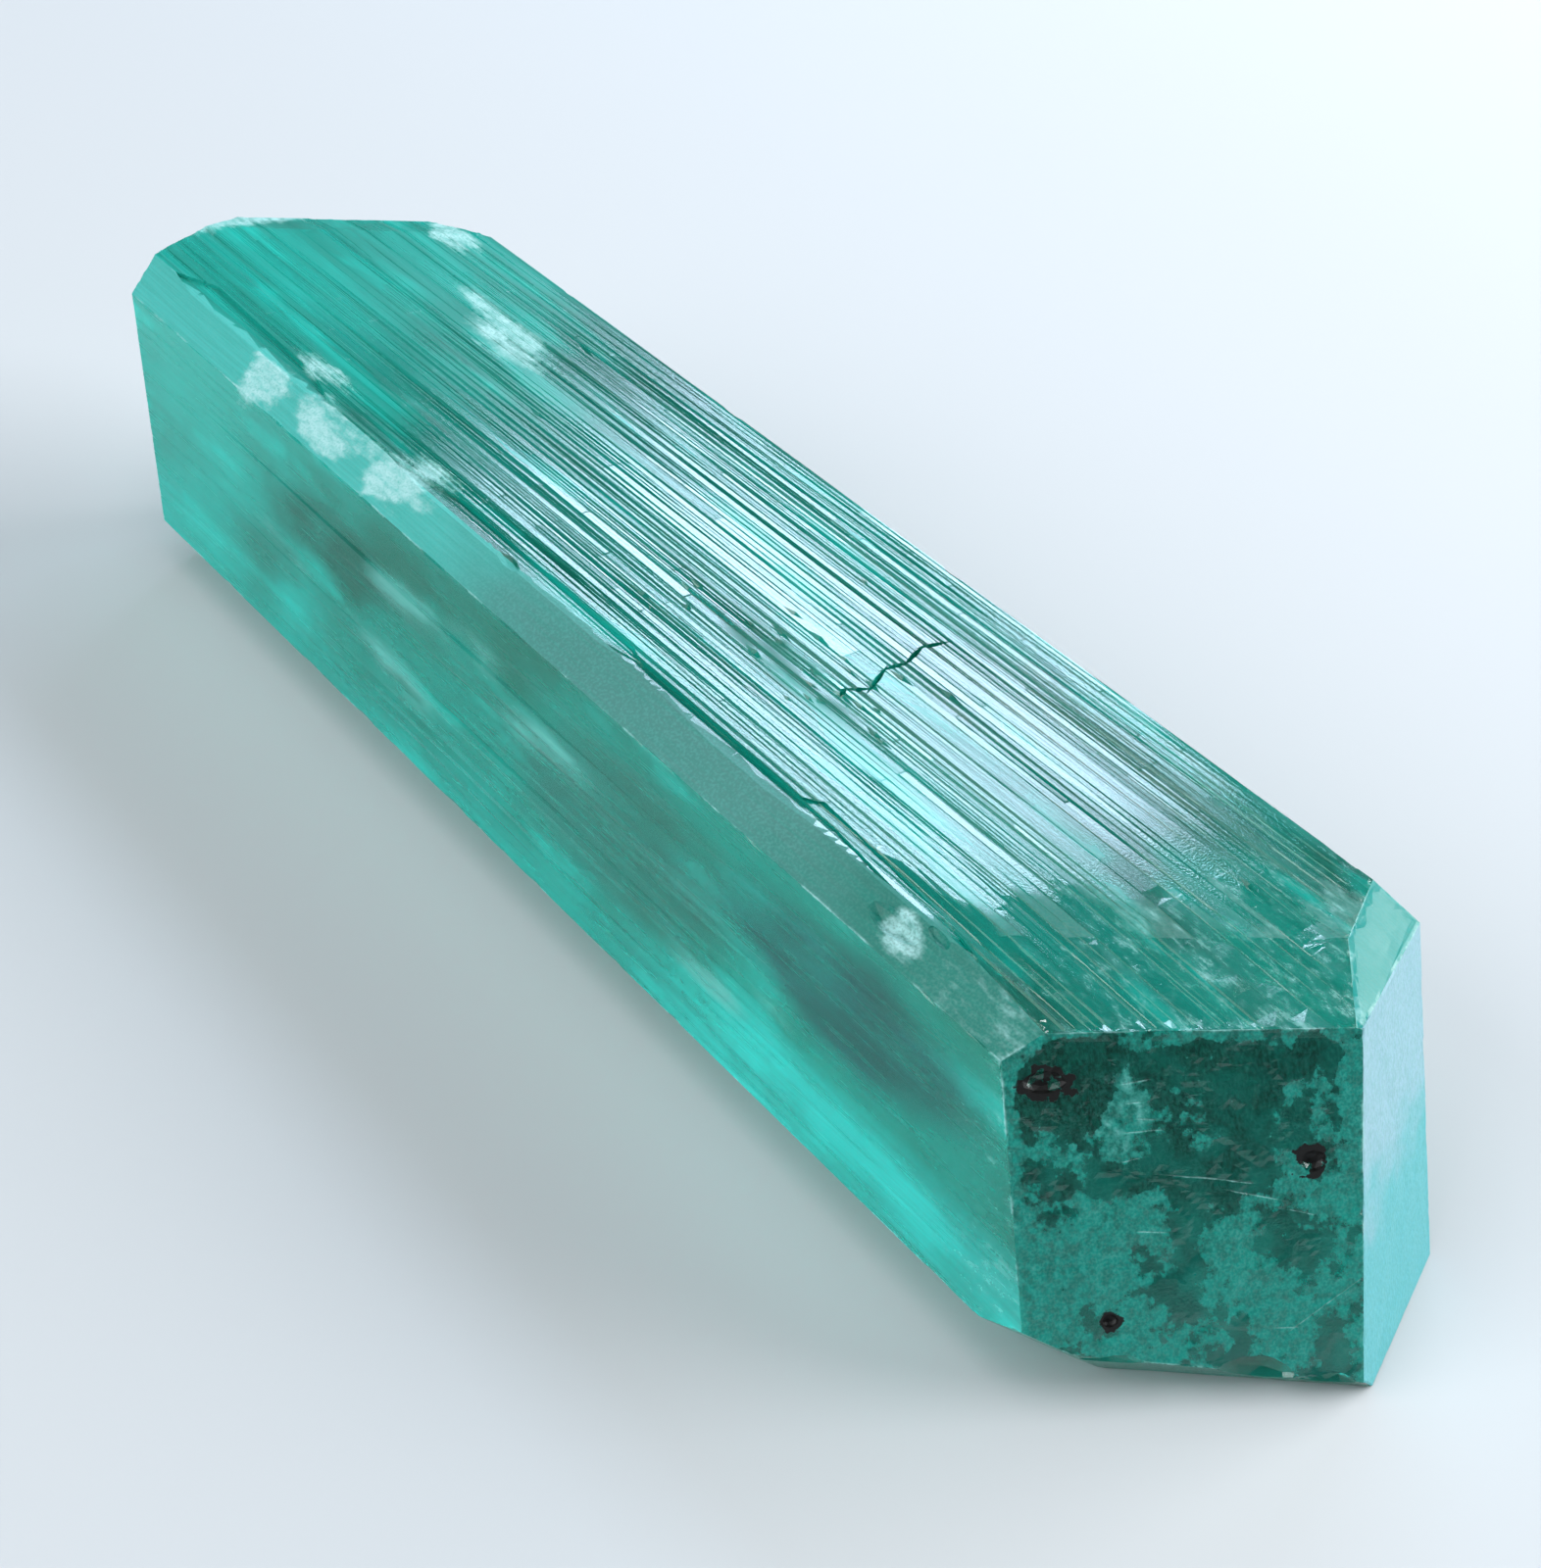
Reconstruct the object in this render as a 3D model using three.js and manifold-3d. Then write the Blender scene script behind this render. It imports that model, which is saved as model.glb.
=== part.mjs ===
import * as THREE from "three";
import { mergeVertices } from "three/addons/utils/BufferGeometryUtils.js";
import Module from "manifold-3d";

const wasm = await Module();
wasm.setup();

// Overall size of the crystal as it lies on its broad face, in millimetres.
const LENGTH = 152;
const HEIGHT = 26;
const RIGHT_SIDE = 19;
const LEFT_SIDE = -17;
const BLANK = 400;

// Bands along the left long side: the upper bevel, the leaning left face and the lower bevel.
const UPPER_BEVEL_TOP = -13.2;
const UPPER_BEVEL_DROP = 2.2;
const UPPER_BEVEL_SLOPE = 60;
const LEFT_LEAN = 4.7;
const LOWER_BEVEL_SIDE = -18.6;
const LOWER_BEVEL_HEIGHT = 4.3;
const LOWER_BEVEL_SLOPE = -60;

// The two ends are wedge noses, each nearly the other turned through the middle of the crystal.
const FRONT_NOSE_TOP = [63, 5.9, HEIGHT];
const FAR_NOSE_TOP = [-76.1, -2.2, HEIGHT];
const FAR_CORNER_TOP = [-63, 18.1, HEIGHT];

// Striations: long shallow grooves that run with the length. Those on the top leave flat plates between them.
const TOP_STRIATIONS = 64;
const TOP_STRIATION_WIDTH = [0.16, 0.55];
const TOP_STRIATION_DEPTH = [0.08, 0.3];
const SIDE_STRIATIONS = 12;
const UNDERSIDE_STRIATIONS = 12;
const ETCH_PITS = 30;

// The transverse crack on the top face, as points along it.
const CRACK = [
  [16.5, -1.4],
  [16.1, -0.5],
  [17.0, 1.3],
  [15.6, 4.1],
  [15.7, 6.4],
  [14.7, 9.0],
  [15.1, 11.2],
];
const CRACK_WIDTH = 0.5;
const CRACK_DEPTH = 0.7;

// Natural scatter: a repeatable spread of values between two limits.
let scatterState = 4177;

function scatter(low, high) {
  scatterState = (scatterState * 16807) % 2147483647;
  return low + (high - low) * (scatterState / 2147483647);
}

function solid(geometry) {
  const bare = geometry.clone();
  bare.deleteAttribute("normal");
  bare.deleteAttribute("uv");
  const merged = mergeVertices(bare, 1e-5);
  const mesh = new wasm.Mesh({
    numProp: 3,
    vertProperties: new Float32Array(merged.attributes.position.array),
    triVerts: new Uint32Array(merged.index.array),
  });
  return new wasm.Manifold(mesh);
}

// A direction from its bearing in plan (from +X towards +Y) and its slope above the level, in degrees.
function facing(bearing, slope) {
  const b = THREE.MathUtils.degToRad(bearing);
  const s = THREE.MathUtils.degToRad(slope);
  return new THREE.Vector3(Math.cos(s) * Math.cos(b), Math.cos(s) * Math.sin(b), Math.sin(s));
}

// A block that fills everything beyond the plane of one crystal face.
function beyond(point, normal) {
  const block = new THREE.BoxGeometry(BLANK, BLANK, BLANK);
  const turn = new THREE.Quaternion().setFromUnitVectors(new THREE.Vector3(0, 0, 1), normal);
  const centre = new THREE.Vector3(...point).addScaledVector(normal, BLANK / 2);
  block.applyMatrix4(new THREE.Matrix4().compose(centre, turn, new THREE.Vector3(1, 1, 1)));
  return solid(block);
}

// A shape placed with its own axes along, across and out of a face.
function onFace(geometry, along, out, point) {
  const n = out.clone().normalize();
  const u = along.clone().addScaledVector(n, -along.dot(n)).normalize();
  const v = new THREE.Vector3().crossVectors(n, u);
  geometry.applyMatrix4(new THREE.Matrix4().makeBasis(u, v, n).setPosition(...point));
  return solid(geometry);
}

// A groove that is deepest at its middle and runs out to a point at both ends.
function groove(length, width, depth, along, out, point) {
  const boat = new THREE.OctahedronGeometry(1);
  boat.scale(length / 2, width / 2, depth);
  return onFace(boat, along, out, point);
}

// A shell-shaped scoop where a flake has come away.
function scoop(size, turn, point) {
  const flake = new THREE.IcosahedronGeometry(1, 1);
  flake.scale(size[0], size[1], size[2]);
  flake.rotateX(turn * 0.7);
  flake.rotateZ(turn);
  flake.translate(point[0], point[1], point[2]);
  return solid(flake);
}

function joined(parts) {
  let whole = parts[0];
  for (const part of parts.slice(1)) {
    whole = whole.add(part);
  }
  return whole;
}

const ALONG = new THREE.Vector3(1, 0, 0);
const UP = new THREE.Vector3(0, 0, 1);
const DOWN = new THREE.Vector3(0, 0, -1);
const RIGHT = new THREE.Vector3(0, 1, 0);
const LEFT = facing(-90, LEFT_LEAN);
const FRONT = facing(-29.7, 25.5);
const FRONT_RIGHT = facing(21.3, 22.1);

// The plain crystal form: each face by a point on it and the way it looks.
const faces = [
  { name: "right side", point: [0, RIGHT_SIDE, 0], out: RIGHT },
  { name: "left side", point: [0, LEFT_SIDE, HEIGHT - UPPER_BEVEL_DROP], out: LEFT },
  { name: "upper left bevel", point: [0, UPPER_BEVEL_TOP, HEIGHT], out: facing(-90, UPPER_BEVEL_SLOPE) },
  {
    name: "lower left bevel",
    point: [0, LOWER_BEVEL_SIDE, LOWER_BEVEL_HEIGHT],
    out: facing(-90, LOWER_BEVEL_SLOPE),
  },
  { name: "front", point: FRONT_NOSE_TOP, out: FRONT },
  { name: "front right", point: FRONT_NOSE_TOP, out: FRONT_RIGHT },
  { name: "front right shoulder", point: [59.2, 10.5, HEIGHT - 0.25], out: facing(25, 81) },
  { name: "front shoulder", point: [45.8, -6.4, HEIGHT], out: facing(-31, 87) },
  { name: "front foot", point: [62.8, -15.2, HEIGHT - 21.5], out: facing(-38, -32) },
  { name: "front left foot", point: [59.2, -18.5, HEIGHT - 20.2], out: facing(-62, -40) },
  { name: "far", point: FAR_NOSE_TOP, out: facing(155.3, -25) },
  { name: "far left", point: [-75.2, -2.2, HEIGHT], out: facing(205, -20.5) },
  { name: "far nose", point: [-75.6, -2.4, HEIGHT], out: facing(181, -12) },
  { name: "far left corner", point: [-69.6, -14.2, HEIGHT], out: facing(222, 6) },
  { name: "far right corner", point: FAR_CORNER_TOP, out: facing(113, -8) },
  { name: "far shoulder", point: [-68.6, 4.5, HEIGHT], out: facing(155, 80) },
];

function plainForm() {
  const block = new THREE.BoxGeometry(LENGTH + 40, 60, HEIGHT);
  block.translate(0, 0, HEIGHT / 2);
  let form = solid(block);
  for (const face of faces) {
    form = form.subtract(beyond(face.point, face.out));
  }
  return form;
}

function topStriations() {
  const cuts = [];
  const span = RIGHT_SIDE - UPPER_BEVEL_TOP;
  for (let i = 0; i < TOP_STRIATIONS; i += 1) {
    const y = UPPER_BEVEL_TOP + (span * (i + scatter(0.1, 0.9))) / TOP_STRIATIONS;
    const length = scatter(28, 125);
    const x = scatter(-70 + length / 2, 62 - length / 2);
    const width = scatter(...TOP_STRIATION_WIDTH);
    const depth = scatter(...TOP_STRIATION_DEPTH);
    cuts.push(groove(length, width, depth, ALONG, UP, [x, y, HEIGHT]));
  }
  return cuts;
}

// Narrow ledges where growth layers stop short of the bevel.
function ledges() {
  const steps = [
    { from: -30, to: 8, wide: 1.5, deep: 0.3 },
    { from: 2, to: 36, wide: 0.9, deep: 0.42 },
    { from: 24, to: 44, wide: 1.9, deep: 0.24 },
    { from: -66, to: -38, wide: 2.2, deep: 0.35 },
  ];
  return steps.map((step) => {
    const half = (step.to - step.from) / 2;
    const outline = new THREE.Shape();
    outline.moveTo(-half, 0);
    outline.lineTo(-half * scatter(0.5, 0.8), step.wide);
    outline.lineTo(half * scatter(0.5, 0.8), step.wide * scatter(0.5, 1));
    outline.lineTo(half, 0);
    outline.lineTo(0, -step.wide);
    const plate = new THREE.ExtrudeGeometry(outline, { depth: 2 * step.deep, bevelEnabled: false });
    plate.translate((step.from + step.to) / 2, UPPER_BEVEL_TOP, HEIGHT - step.deep);
    return solid(plate);
  });
}

// Short etch pits in rows on the top, closest together in the pitted patch behind the crack.
function etchPits() {
  const cuts = [];
  for (let i = 0; i < ETCH_PITS; i += 1) {
    const inPatch = i % 3 !== 0;
    const x = inPatch ? scatter(-2, 24) : scatter(-40, 50);
    const y = inPatch ? scatter(-8, 3) : scatter(-10, 16);
    const run = new THREE.Vector3(1, scatter(-0.12, 0.12), 0);
    cuts.push(groove(scatter(0.9, 3), scatter(0.35, 0.8), scatter(0.15, 0.35), run, UP, [x, y, HEIGHT]));
  }
  return cuts;
}

function sideStriations() {
  const cuts = [];
  for (let i = 0; i < SIDE_STRIATIONS; i += 1) {
    const z = 2 + (22 * (i + scatter(0.1, 0.9))) / SIDE_STRIATIONS;
    const length = scatter(40, 105);
    const x = scatter(-58 + length / 2, 52 - length / 2);
    cuts.push(groove(length, scatter(0.6, 1.8), scatter(0.15, 0.45), ALONG, RIGHT, [x, RIGHT_SIDE, z]));
  }
  for (let i = 0; i < SIDE_STRIATIONS; i += 1) {
    const z = 6 + (16 * (i + scatter(0.1, 0.9))) / SIDE_STRIATIONS;
    const length = scatter(35, 100);
    const x = scatter(-58 + length / 2, 46 - length / 2);
    const lean = Math.tan(THREE.MathUtils.degToRad(LEFT_LEAN));
    const y = LEFT_SIDE - (HEIGHT - UPPER_BEVEL_DROP - z) * lean;
    cuts.push(groove(length, scatter(0.5, 1.6), scatter(0.06, 0.18), ALONG, LEFT, [x, y, z]));
  }
  return cuts;
}

// The underside keeps its broad middle flat to rest on.
function undersideStriations() {
  const cuts = [];
  for (let i = 0; i < UNDERSIDE_STRIATIONS; i += 1) {
    const side = i % 2 === 0 ? 1 : -1;
    const y = 4 + side * scatter(5, 13);
    const length = scatter(40, 90);
    const x = scatter(-50 + length / 2, 62 - length / 2);
    cuts.push(groove(length, scatter(0.6, 1.7), scatter(0.12, 0.35), ALONG, DOWN, [x, y, 0]));
  }
  return cuts;
}

function crack() {
  const cuts = [];
  for (let i = 1; i < CRACK.length; i += 1) {
    const from = new THREE.Vector3(CRACK[i - 1][0], CRACK[i - 1][1], HEIGHT);
    const to = new THREE.Vector3(CRACK[i][0], CRACK[i][1], HEIGHT);
    const run = to.clone().sub(from);
    const middle = from.clone().add(to).multiplyScalar(0.5);
    cuts.push(groove(run.length() * 1.7, CRACK_WIDTH, CRACK_DEPTH, run, UP, middle.toArray()));
  }
  return cuts;
}

// Ragged lower edge of the front, nicks on the long edges and the bruised rim of the far end.
function chips() {
  const cuts = [];
  const foot = [
    [61.8, -17.4, 4.6, 1.2],
    [65.0, -13.2, 3.1, 2.4],
    [67.5, -10.2, 3.1, 1.0],
    [70.4, -4.6, 1.9, 3.0],
    [72.3, -2.2, 2.5, 0.9],
    [73.6, 0.6, 1.3, 1.9],
    [71.0, 18.4, 0.2, 1.6],
  ];
  for (const [x, y, z, r] of foot) {
    cuts.push(scoop([r * 1.3, r * 0.8, r * 0.5], scatter(0.6, 1.5), [x, y, z]));
  }
  const rim = [
    [-67.4, 16.6, 0.8],
    [-72.6, 6.3, 0.6],
    [-74.3, 2.4, 0.9],
    [-75.4, 0.2, 0.7],
    [-76.0, -2.6, 1.0],
    [-75.3, -4.8, 0.7],
    [-73.6, -8.6, 0.6],
  ];
  for (const [x, y, r] of rim) {
    cuts.push(scoop([r * 1.3, r, r * 0.8], scatter(0, 3), [x - 0.3, y, HEIGHT - 0.5]));
  }
  const nicks = [
    [38.0, -15.2, 25.4, 1.9],
    [41.4, -14.0, 25.9, 1.0],
    [21.4, -19.1, 4.1, 1.1],
    [-11.0, -13.4, 26.3, 1.5],
    [-41.0, -17.4, 24.2, 1.2],
    [8.0, 19.5, 26.3, 1.4],
    [29.0, 19.6, 26.2, 1.2],
    [-22.0, 19.6, 26.3, 1.5],
    [-47.0, 19.5, 26.2, 1.1],
    [44.0, 19.6, -0.2, 1.6],
    [-35.0, 19.6, -0.1, 1.8],
    [5.0, 19.7, 0.1, 1.4],
  ];
  for (const [x, y, z, r] of nicks) {
    cuts.push(scoop([r * 1.5, r * 0.6, r * 0.6], scatter(-0.2, 0.2), [x, y, z]));
  }
  return cuts;
}

// Small hollows on the front face where dark grains meet the surface.
function frontPits() {
  const pits = [
    { point: [53.3, -14.6, HEIGHT - 3.6], size: [1.6, 0.8, 0.6] },
    { point: [65.5, 1.6, HEIGHT - 9.2], size: [1.0, 0.8, 0.6] },
    { point: [62.9, -12.8, HEIGHT - 19.3], size: [0.6, 0.5, 0.4] },
  ];
  const along = new THREE.Vector3(0.5, 0.87, 0);
  return pits.map((pit) => {
    const grain = new THREE.IcosahedronGeometry(1, 1);
    grain.scale(...pit.size);
    const start = new THREE.Vector3(...pit.point);
    const drop = start.clone().sub(new THREE.Vector3(...FRONT_NOSE_TOP)).dot(FRONT);
    start.addScaledVector(FRONT, -drop);
    return onFace(grain, along, FRONT, start.toArray());
  });
}

const relief = joined([
  ...topStriations(),
  ...ledges(),
  ...etchPits(),
  ...sideStriations(),
  ...undersideStriations(),
  ...crack(),
  ...chips(),
  ...frontPits(),
]);

const carved = plainForm().subtract(relief).getMesh();

const surface = new THREE.BufferGeometry();
surface.setAttribute("position", new THREE.BufferAttribute(carved.vertProperties, 3));
surface.setIndex(new THREE.BufferAttribute(carved.triVerts, 1));

// The frame stands under the middle of the crystal, on the surface it rests on.
surface.computeBoundingBox();
const middle = surface.boundingBox.getCenter(new THREE.Vector3());
surface.translate(-middle.x, -middle.y, -surface.boundingBox.min.z);
const faceted = surface.toNonIndexed();
faceted.computeVertexNormals();

const spodumene = new THREE.MeshStandardMaterial({
  name: "green spodumene",
  color: new THREE.Color(0.2, 0.62, 0.5),
  roughness: 0.18,
  metalness: 0,
});

const crystal = new THREE.Mesh(faceted, spodumene);
crystal.name = "crystal";

const part = new THREE.Group();
part.name = "green_spodumene_crystal";
part.add(crystal);

export default part;
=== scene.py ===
import math
import random
from bisect import bisect_left, bisect_right

import bmesh
import bpy
import numpy as np
from mathutils import Matrix, Vector, noise


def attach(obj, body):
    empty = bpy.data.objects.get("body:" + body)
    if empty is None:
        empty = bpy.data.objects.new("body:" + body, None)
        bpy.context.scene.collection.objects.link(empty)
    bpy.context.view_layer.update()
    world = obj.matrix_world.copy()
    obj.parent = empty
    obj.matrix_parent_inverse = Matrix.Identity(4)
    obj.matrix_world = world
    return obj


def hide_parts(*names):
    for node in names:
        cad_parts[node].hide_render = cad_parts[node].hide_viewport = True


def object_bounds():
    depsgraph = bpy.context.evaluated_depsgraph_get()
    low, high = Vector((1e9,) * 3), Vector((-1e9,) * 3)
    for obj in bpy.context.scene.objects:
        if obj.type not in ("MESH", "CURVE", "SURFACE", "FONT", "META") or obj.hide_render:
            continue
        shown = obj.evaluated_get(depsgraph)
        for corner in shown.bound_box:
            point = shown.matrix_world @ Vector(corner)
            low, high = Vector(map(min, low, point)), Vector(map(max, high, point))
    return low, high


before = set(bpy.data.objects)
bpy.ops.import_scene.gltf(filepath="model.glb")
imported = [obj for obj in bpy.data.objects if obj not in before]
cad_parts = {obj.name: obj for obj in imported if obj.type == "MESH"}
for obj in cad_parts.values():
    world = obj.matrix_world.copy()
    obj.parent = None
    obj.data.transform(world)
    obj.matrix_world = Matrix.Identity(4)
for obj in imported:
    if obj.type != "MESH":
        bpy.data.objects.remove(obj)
cad_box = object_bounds()

# Lengths and places below are in millimetres in the part's frame, unless they say otherwise.
MM = 0.001
TOP = round(cad_box[1][2] / MM, 3)
X_AXIS, Y_AXIS, Z_AXIS = Vector((1, 0, 0)), Vector((0, 1, 0)), Vector((0, 0, 1))


def facing(bearing, slope):
    """Direction from its bearing in plan (from +X towards +Y) and its slope above the level, in degrees."""
    b, s = math.radians(bearing), math.radians(slope)
    return Vector((math.cos(s) * math.cos(b), math.cos(s) * math.sin(b), math.sin(s)))


# Crystal faces: the way each one looks and a point on it.
# The solid is drawn a little off the middle of its box, and SHIFT brings these points to the part's origin.
SHIFT = Vector((0.28, -0.2, 0.0))
FACES = {
    "top": (facing(0, 90), (0, 0, TOP)),
    "front_shoulder": (facing(-31, 87), (45.8, -6.4, TOP)),
    "far_shoulder": (facing(155, 80), (-68.6, 4.5, TOP)),
    "bevel": (facing(-90, 60), (0, -13.2, TOP)),
    "left": (facing(-90, 4.7), (0, -17.0, TOP - 2.2)),
    "low_bevel": (facing(-90, -60), (0, -18.6, 4.3)),
    "front": (facing(-29.7, 25.5), (63.0, 5.9, TOP)),
    "front_right": (facing(21.3, 22.1), (63.0, 5.9, TOP)),
    "right_shoulder": (facing(25, 81), (59.2, 10.5, TOP - 0.25)),
    "front_foot": (facing(-38, -32), (62.8, -15.2, TOP - 21.5)),
    "front_left_foot": (facing(-62, -40), (59.2, -18.5, TOP - 20.2)),
    "right": (facing(90, 0), (0, 19.0, 0)),
    "far": (facing(155.3, -25), (-76.1, -2.2, TOP)),
    "far_left": (facing(205, -20.5), (-75.2, -2.2, TOP)),
    "far_nose": (facing(181, -12), (-75.6, -2.4, TOP)),
    "far_left_corner": (facing(222, 6), (-69.6, -14.2, TOP)),
    "far_right_corner": (facing(113, -8), (-63, 18.1, TOP)),
    "bottom": (facing(0, -90), (0, 0, 0)),
}
NAMES = list(FACES)
TOP_NAMES = ("top", "front_shoulder", "far_shoulder")
FAR_NAMES = ("far", "far_left", "far_nose", "far_left_corner", "far_right_corner")
FRONT_SHOULDER = NAMES.index("front_shoulder")
FRONT = NAMES.index("front")
OUT = np.array([FACES[name][0] for name in NAMES])
LEVEL = np.array([FACES[name][0].dot(Vector(FACES[name][1]) + SHIFT) for name in NAMES])

# Faces that meet without a worn edge share a family: the top and its shoulders are family 0.
FAMILY = np.array([0 if name in TOP_NAMES else i + 1 for i, name in enumerate(NAMES)])


def heights(points):
    """How far each point stands out of every crystal face: 0 on the face, negative inside."""
    return points @ OUT.T - LEVEL


def axes_of(name):
    """Level direction and upward direction that lie in a crystal face."""
    out = FACES[name][0]
    across = Z_AXIS.cross(out).normalized()
    return across, out.cross(across)


def smooth(low, high, value):
    """Rises softly from 0 at low to 1 at high; falls when low is the greater."""
    t = np.clip((value - low) / (high - low), 0, 1)
    return t * t * (3 - 2 * t)


# Noise fields: repeats per millimetre along each axis, octaves and seed.
FIELDS = {
    "groove": ((0.045, 3.7, 1), 2, 3),
    "crease": ((0.3, 1, 1), 2, 5),
    "etched": ((0.3, 0.3, 0.3), 5, 7),
    "wavy": ((0.05, 0.35, 0.35), 3, 9),
    "chipped": ((0.35, 0.35, 0.35), 3, 11),
    "broad": ((0.03, 0.09, 0.09), 4, 21),
    "veil": ((0.06, 0.28, 0.28), 5, 22),
    "blot": ((0.3, 0.3, 0.3), 4, 23),
    "cloud": ((0.12, 0.2, 0.2), 5, 24),
    "streak": ((0.025, 1.3, 0.5), 3, 25),
    "front_cloud": ((0.38, 0.38, 0.38), 4, 26),
    "mottle": ((0.22, 0.22, 0.22), 5, 7),
    "fine_mottle": ((0.9, 0.9, 0.9), 3, 27),
    "specks": ((0.9, 0.9, 0.9), 3, 28),
}
SEED_STEP = 17.31
FADING, FINER = 0.9, 2.1


def field(points, name):
    """Fractal noise at the points, spread around 0."""
    scale, octaves, seed = FIELDS[name]
    at = points * np.array(scale) + seed * SEED_STEP
    return np.array([noise.fractal(Vector(p), FADING, FINER, octaves) for p in at])


# Growth layers on the top
class Layers:
    """Flat growth layers side by side across the top, with grooves between them and steps along each."""

    SEED = 41
    FIRST, LAST = -12.9, 18.5
    NARROWEST, WIDEST = 0.24, 3.0
    WIDTH_LOG = (-1.4, 0.8)
    BROAD_FROM, BROAD_TO = 1.5, 9.5
    BROAD, PLAIN = 3.2, 1.1
    GROOVE_WIDTH = (0.12, 0.26)
    GROOVE_DEPTHS = (0.015, 0.04, 0.08, 0.13)
    STEPS_FROM, STEPS_TO = -73.0, 60.0
    STEP_APART = (3.0, 6.5)
    STEP_HALF = 0.09
    STEP_COUNT = (2, 6)
    STEP_DROP = (0.0, 0.05)
    DULL_POWER = 1.6
    CREASE_DROP = (0.0, 0.12)
    CREASE_WANDER = 0.3

    def __init__(self):
        pick = random.Random(self.SEED)
        self.step_places = []
        x = self.STEPS_FROM
        while x < self.STEPS_TO:
            self.step_places.append(x)
            x += pick.uniform(*self.STEP_APART)
        bounds, widths, depths = [], [], []
        y = self.FIRST
        while y < self.LAST:
            bounds.append(y)
            widths.append(pick.uniform(*self.GROOVE_WIDTH))
            depths.append(pick.choice(self.GROOVE_DEPTHS))
            broad = self.BROAD if self.BROAD_FROM < y < self.BROAD_TO else self.PLAIN
            y += min(self.NARROWEST + broad * pick.lognormvariate(*self.WIDTH_LOG), self.WIDEST)
        self.bounds = np.array(bounds)
        self.widths = np.array(widths)
        self.depths = np.array(depths)
        self.ends, self.levels, self.dulls = [], [], []
        for _ in range(len(bounds) + 1):
            count = pick.randint(*self.STEP_COUNT)
            ends = sorted(pick.sample(self.step_places, count))
            base = pick.uniform(*self.STEP_DROP)
            self.ends.append(np.array(ends))
            self.levels.append(np.array([base + pick.uniform(*self.STEP_DROP) for _ in range(count + 1)]))
            self.dulls.append(np.array([pick.random() ** self.DULL_POWER for _ in range(count + 1)]))
        self.early = np.array([pick.uniform(*self.CREASE_DROP) for _ in range(len(bounds) + 1)])

    def lines_across(self):
        """Both edges and the middle of every groove, as places across the top."""
        grooves = zip(self.bounds, self.widths)
        return sorted({round(b + k * w / 2, 4) for b, w in grooves for k in (-1, 0, 1)})

    def lines_along(self):
        """The head and foot of every step, as places along the top."""
        return sorted(x + k * self.STEP_HALF for x in self.step_places for k in (-1, 1))

    def look_up(self, table, x, y):
        """The value of the table for the stretch of growth layer at each place."""
        layer = np.searchsorted(self.bounds, y)
        found = np.zeros(len(x))
        for i in range(len(table)):
            here = layer == i
            found[here] = table[i][np.searchsorted(self.ends[i], x[here])]
        return found

    def depth(self, x, y):
        """How far the steps and grooves lie below the top."""
        layer = np.searchsorted(self.bounds, y)
        right = np.clip(layer, 0, len(self.bounds) - 1)
        left = np.clip(layer - 1, 0, len(self.bounds) - 1)
        near = np.where(np.abs(self.bounds[right] - y) < np.abs(self.bounds[left] - y), right, left)
        share = np.clip(1 - np.abs(y - self.bounds[near]) / (self.widths[near] / 2), 0, 1)
        along_groove = np.stack([x, near, np.zeros(len(x))], axis=1)
        open_here = smooth(-0.25, 0.25, field(along_groove, "groove"))
        return self.look_up(self.levels, x, y) + share * self.depths[near] * open_here

    def early_fall(self, y):
        """How far each layer already lies below the front shoulder, so that the crease is ragged."""
        across = np.stack([y, np.zeros(len(y)), np.zeros(len(y))], axis=1)
        wander = self.CREASE_WANDER * smooth(-0.5, 0.5, field(across, "crease"))
        return self.early[np.searchsorted(self.bounds, y)] + wander

    def dull(self, x, y):
        """How dull each stretch of layer is, from 0 to 1."""
        return self.look_up(self.dulls, x, y)


layers = Layers()

# Scratches on the front face, from point to point, and how deep each is.
SCRATCHES = [
    ((70.3, -2.0, 5.2), (71.5, 4.0, 9.1), 0.06),
    ((60.8, -8.1, 16.2), (63.1, -4.5, 15.8), 0.05),
    ((61.6, -6.4, 16.0), (64.4, -2.4, 15.4), 0.05),
    ((63.4, -4.5, 15.1), (66.0, -0.9, 14.3), 0.05),
    ((58.0, -9.6, 20.0), (59.0, -8.2, 19.9), 0.05),
    ((57.9, -10.4, 19.0), (59.5, -7.9, 19.3), 0.05),
    ((57.3, -10.2, 21.0), (58.0, -9.1, 21.2), 0.05),
    ((56.6, -10.4, 22.3), (57.8, -8.6, 22.7), 0.05),
    ((58.7, -10.8, 17.1), (59.5, -9.7, 17.5), 0.05),
    ((69.5, -2.6, 5.6), (70.1, -0.6, 5.4), 0.05),
    ((60.9, -10.5, 12.4), (62.2, -8.3, 12.2), 0.05),
    ((65.9, -0.4, 13.4), (67.2, 1.5, 12.9), 0.05),
]
SCRATCH_HALF = 0.09


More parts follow.
